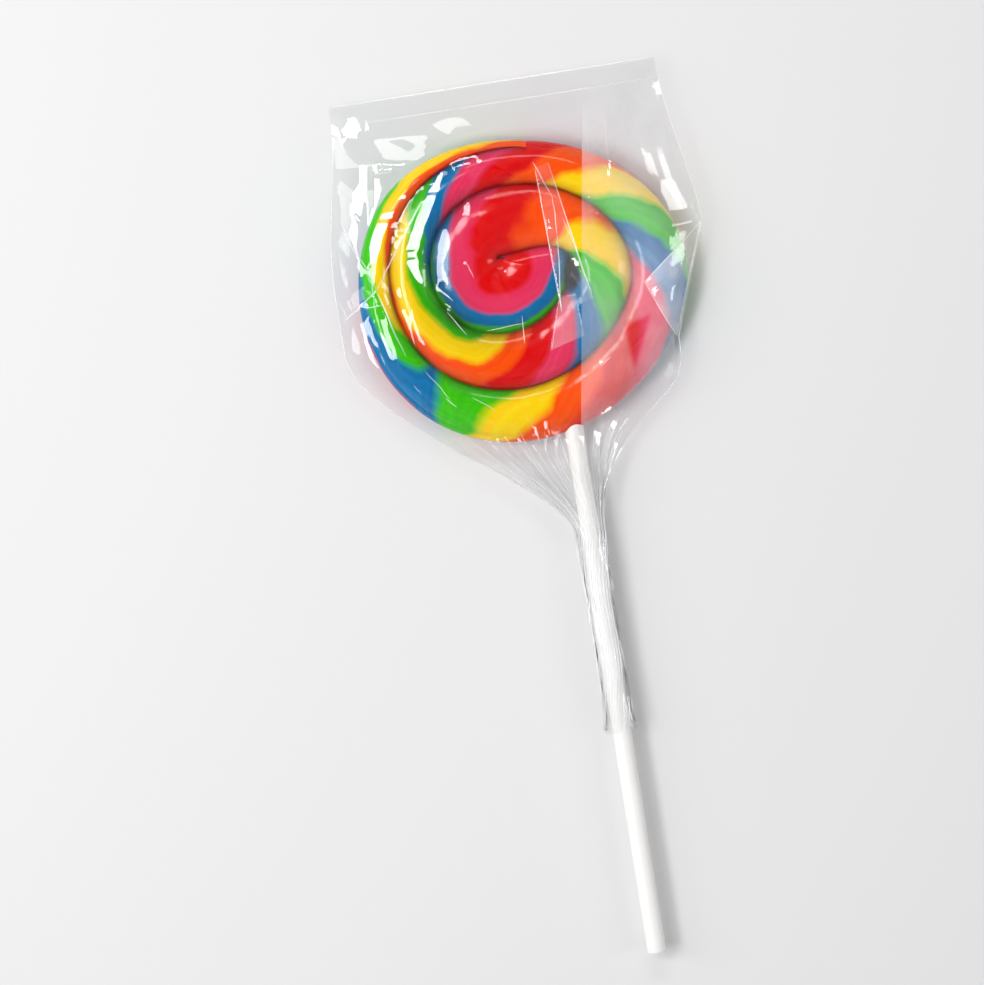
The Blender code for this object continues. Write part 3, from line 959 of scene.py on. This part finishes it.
def lying_on(corners, rows=120, across=60, lift=0.07):
    """A four-cornered sheet lying on the front: its corners are x and y from the head's middle.

    Straight interpolation between the corners gives x and y, and the front gives the height.
    """
    s, t = np.linspace(0, 1, rows)[:, None], np.linspace(0, 1, across)[None, :]
    (ax, ay), (bx, by), (cx, cy), (dx, dy) = corners
    x = (ax * (1 - s) + dx * s) * (1 - t) + (bx * (1 - s) + cx * s) * t
    y = (ay * (1 - s) + dy * s) * (1 - t) + (by * (1 - s) + cy * s) * t + HEAD_Y
    points = front_at(y, across_at(x, y))
    edge = ease(0, 0.05, s) * ease(1, 0.95, s) * ease(0, 0.05, t) * ease(1, 0.95, t)
    return points + np.stack([0 * y, 0 * y, lift * (0.35 + 0.65 * edge)], -1)


# %% Where the second layers are, in mm from the head's middle
# corners in order: upper left, upper right, lower right, lower left
TUCK = ((5.2, 21.0), (7.6, 21.6), (11.6, -3.0), (5.9, -4.6))
THIN_SPOT = ((15.9, -8.1), (21.6, -6.9), (16.7, -17.9))  # where the lap lies close and clear
STANDING_FOLDS = (
    ((-10.4, 23.4), (-13.5, 18.5), (-17.3, 12.3), (-18.7, 7.9), (-17.1, 3.7)),
    ((-17.3, 20.2), (-21.3, 17.2), (-24.1, 12.7), (-25.2, 8.2)),
)
TURNED_EDGE = ((32.0, 6.8), (32.0, 6.7), (25.0, -12.2), (20.9, -1.6))
LOW_FACET = ((5.8, -1.9), (8.8, -1.6), (9.2, -9.2), (2.9, -10.9))
LAPPED = lap()
doubled = [
    surface("film_lap", [LAPPED], [False], {"layers": [1 - 0.85 * inside(LAPPED, THIN_SPOT)]}),
    surface("film_tuck", [lying_on(TUCK, lift=0.11)], [False]),
    surface("film_turned_edge", [lying_on(TURNED_EDGE, lift=0.11)], [False]),
    surface("film_low_facet", [lying_on(LOW_FACET, lift=0.14)], [False]),
    surface("film_folds", [standing_fold(path) for path in STANDING_FOLDS], [False, False]),
]

# %% [markdown]
# ## Crease lines
#
# Along the top of a sharp crease the film is bent so tightly that it turns white and glints.
# Those lines are far narrower than the grid, so they are ribbons of their own: a path on the
# front sheet, with a low roof carried along it that narrows to nothing at both ends.

# %% Ribbons along the creases, the folds and the edges
def ribbon(path, half=0.09, height=0.07, lift=0.02):
    """A low roof along a path of points, narrowing to nothing at both ends."""
    ahead = np.gradient(path, axis=0)
    ahead /= np.linalg.norm(ahead, axis=1)[:, None]
    side = np.cross(ahead, [0.0, 0.0, 1.0])
    side /= np.linalg.norm(side, axis=1)[:, None]
    taper = np.sqrt(np.sin(np.pi * np.linspace(0.004, 0.996, len(path))))[:, None]
    offs = np.array([-1.0, -0.35, 0.0, 0.35, 1.0])
    roof = (1 - np.abs(offs)) * height
    points = path[:, None] + side[:, None] * (offs * half * taper)[..., None]
    points[..., 2] += lift + roof * taper
    return points


def along_crease(crease, seed):
    """Path of a crease on the front sheet, with a slight chance bend."""
    ax, ay, bx, by = crease[:4]
    share = np.linspace(0, 1, 40)
    length = math.hypot(bx - ax, by - ay)
    bend = 0.03 * length * ripples(share * 10, 0 * share, 9.0, seed) * np.sin(np.pi * share)
    x, y = ax + (bx - ax) * share + bend, HEAD_Y + ay + (by - ay) * share + bend
    keep = (y < SEAM - 1) & (x > left_edge(y) + 0.5) & (x < right_edge(y) - 0.5)
    return front_at(y[keep], across_at(x, y)[keep])


def on_sides(corners, sides):
    """Paths on the front sheet along chosen sides of a four-cornered layer."""
    for i in sides:
        (ax, ay), (bx, by) = corners[i], corners[(i + 1) % 4]
        share = np.linspace(0, 1, 60)
        x, y = ax + (bx - ax) * share, HEAD_Y + ay + (by - ay) * share
        yield front_at(y, across_at(x, y))


# %% All ribbons as one mesh
ribbons = []
for seed, crease in enumerate([*LONG_CREASES, *SHORT_CREASES[::4]]):
    path = along_crease(crease, seed)
    if len(path) > 12:
        ribbons.append(ribbon(path, 0.03 + 0.24 * crease[4], 0.04 + 0.15 * crease[4]))
for path in (*on_sides(TUCK, (1, 3)), *on_sides(TURNED_EDGE, (1, 2, 3))):
    ribbons.append(ribbon(path, 0.09, 0.05, 0.1))
for place in range(1, FOLDS):
    y = np.linspace(HEAD_LOWER - 1.5 + 4 * chance.random(), MOUTH + 1.5 + 5 * chance.random(), 120)
    ribbons.append(ribbon(front_at(y, 0 * y + fold_places[place]), 0.07, 0.05))
for q in (0.0, 1.0):
    y = np.linspace(CLOSED_END, NECK, 200)
    ribbons.append(ribbon(front_at(y, 0 * y + q), 0.09, 0.06, 0.0))
for y, half in ((CLOSED_END - 0.05, 0.1), (SEAM, 0.08)):
    q = np.linspace(0, 1, 120)
    ribbons.append(ribbon(front_at(y + 0 * q, q), half, 0.04))
creases_piece = surface("film_creases", ribbons, [True] * len(ribbons))

# %% [markdown]
# ## The film's finish
#
# Film this thin shows itself only by what it mirrors and by its creases. A sheet of glass
# would bend the view and need a true thickness, so the finish mixes clear with mirror instead.
# How much it mirrors follows the rule of all clear stuff: little when seen face on, and nearly
# everything at a grazing angle. A trace of white stands for haze, with more where the film lies
# in several layers, and most along the creases.

# %% Film material
def clear_film(name, haze, mirror, layered=False):
    """Clear film: see-through, a mirror that grows towards grazing view, and a little haze."""
    film = Finish(name)
    facing = film.node("ShaderNodeLayerWeight", {}, {"Blend": 0.5}, output="Facing")
    relief = film.bump(film.noise(1.6, 1.0) * 0.1 + film.noise(8.0, 1.0), 0.1, 0.35)
    reflect = mirror + (1 - mirror) * (facing ** 5.0)
    clear = film.node("ShaderNodeBsdfTransparent", {}, {"Color": (0.99, 0.992, 0.995, 1)})
    gloss = film.node("ShaderNodeBsdfGlossy", {}, {"Roughness": 0.05, "Normal": relief})
    sheet = film.node("ShaderNodeMixShader", {}, (reflect.clamped(), clear, gloss))
    white = film.node("ShaderNodeBsdfDiffuse", {}, {"Color": (0.95, 0.96, 0.97, 1)})
    amount = haze * (film.noise(9.0, 2.0) * 2.4 - 0.2)
    if layered:
        amount = amount * film.attribute("layers")
    return film.finish(film.node("ShaderNodeMixShader", {}, (amount.clamped(), sheet, white)))


for piece in (film_front, film_back):
    piece.data.materials.append(clear_film("clear_film", 0.002, 0.055, layered=True))
for piece, haze in zip(doubled, (0.16, 0.07, 0.26, 0.15, 0.05)):
    mirror = 0.085 if piece.name == "film_folds" else 0.055
    layered = piece.name == "film_lap"
    piece.data.materials.append(clear_film("doubled_film", haze, mirror, layered))
for piece in (*doubled, creases_piece):
    piece.visible_shadow = False  # stuff this thin takes hardly any light from what lies below
creases_piece.data.materials.append(clear_film("creased_film", 0.55, 0.2))

# %% [markdown]
# ## Floor, light and camera
#
# The lollipop lies on a plain pale floor. A large soft panel on the left draws the long glints
# along film and rope, and four others add the rest. A panel overhead only fills in: mirrored,
# it would veil the colours. So the surround is dim overhead too, with soft clouds that break
# up what the film mirrors. The camera looks almost straight down, from far off with a long lens.

# %% Floor
half = 1500.0
floor_grid = np.stack(np.meshgrid([-half, half], [-half, half], [-0.02], indexing="ij"), -1)
floor = surface("pale_floor", [floor_grid[:, :, 0]], [False])
ground = Finish("pale_floor")
floor.data.materials.append(ground.finish(ground.node("ShaderNodeBsdfPrincipled", {}, {
    "Base Color": (0.76, 0.76, 0.765, 1), "Roughness": 0.6,
})))


# %% Soft panels of light
def panel(name, place, size, power, aim=(0.0, 0.02, 0.004), mirrored=True):
    """A rectangular soft light at place, facing aim; lengths in metres, power in watts."""
    light = bpy.data.lights.new(name, "AREA")
    light.shape, light.size, light.size_y, light.energy = "RECTANGLE", *size, power
    obj = bpy.data.objects.new(name, light)
    obj.location = place
    direction = Vector(place) - Vector(aim)
    obj.rotation_euler = direction.to_track_quat("Z", "Y").to_euler()
    obj.visible_camera, obj.visible_glossy = False, mirrored
    bpy.context.scene.collection.objects.link(obj)
    print(f"{name}: {power} W")


panel("left_panel", (-0.42, 0.05, 0.72), (0.42, 0.17), 3.0)
panel("upper_left_panel", (-0.25, 0.27, 0.76), (0.12, 0.20), 1.1)
panel("far_left_panel", (-0.75, 0.25, 0.55), (0.3, 0.6), 2.0)
panel("right_panel", (0.75, -0.1, 0.7), (0.14, 0.5), 1.3)
panel("top_panel", (0.05, 0.75, 0.8), (0.6, 0.16), 1.7)
panel("overhead_panel", (0.1, 0.1, 1.2), (0.8, 0.8), 0.3, mirrored=False)

# %% Surround
world = bpy.data.worlds.new("bright_surround")
bpy.context.scene.world = world
world.use_nodes = True
surround = Nodes(world.node_tree)
height = surround.node("ShaderNodeSeparateXYZ", {}, (
    surround.node("ShaderNodeTexCoord", output="Generated"),
), "Z")
background = world.node_tree.nodes["Background"]
background.inputs["Color"].default_value = (1.0, 1.0, 1.0, 1)
clouds = (surround.node("ShaderNodeTexNoise", {}, {"Scale": 4.5, "Detail": 1.0}) - 0.45).clamped()
brightness = 0.36 - 0.34 * (height.math("MAXIMUM", 0.0) ** 2.0) + clouds * 1.3
world.node_tree.links.new(brightness.socket, background.inputs["Strength"])
bpy.context.scene.view_settings.view_transform = "Standard"
print("surround:", len(world.node_tree.nodes), "nodes")

# %% Camera
ROLL, TILT, DISTANCE = math.radians(9), math.radians(8), 1.6
VIEW_WIDTH = 171.8 * MM
AIM = Vector((-11.08 * MM, 7.04 * MM, MID_HEIGHT * MM))
up_in_plane = Vector((math.sin(ROLL), math.cos(ROLL), 0))
back = up_in_plane * math.sin(TILT) + Vector((0, 0, math.cos(TILT)))
right = up_in_plane.cross(back).normalized()
up = back.cross(right)
lens = bpy.data.cameras.new("camera")
lens.sensor_width = 36
lens.lens = 36 * DISTANCE / VIEW_WIDTH
camera = bpy.data.objects.new("camera", lens)
turn_matrix = Matrix((right, up, back)).transposed().to_4x4()
camera.matrix_world = Matrix.Translation(AIM + back * DISTANCE) @ turn_matrix
bpy.context.scene.collection.objects.link(camera)
bpy.context.scene.camera = camera
print("lens", round(lens.lens), "mm at", DISTANCE, "m")

# %% [markdown]
# ## Dressed pieces in place of the solids
#
# The plain solid behind each piece is hidden, and the root body carries the piece.

# %% Pieces and bodies
film_pieces = (film_front, film_back, *doubled, creases_piece)
for piece, node, slot in (
    (candy, "candy", "striped_candy"),
    (stick, "stick", "white_stick"),
    *((piece, "wrapper", "clear_film") for piece in film_pieces),
):
    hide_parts(node)
    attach(piece, "root")

bpy.context.view_layer.update()
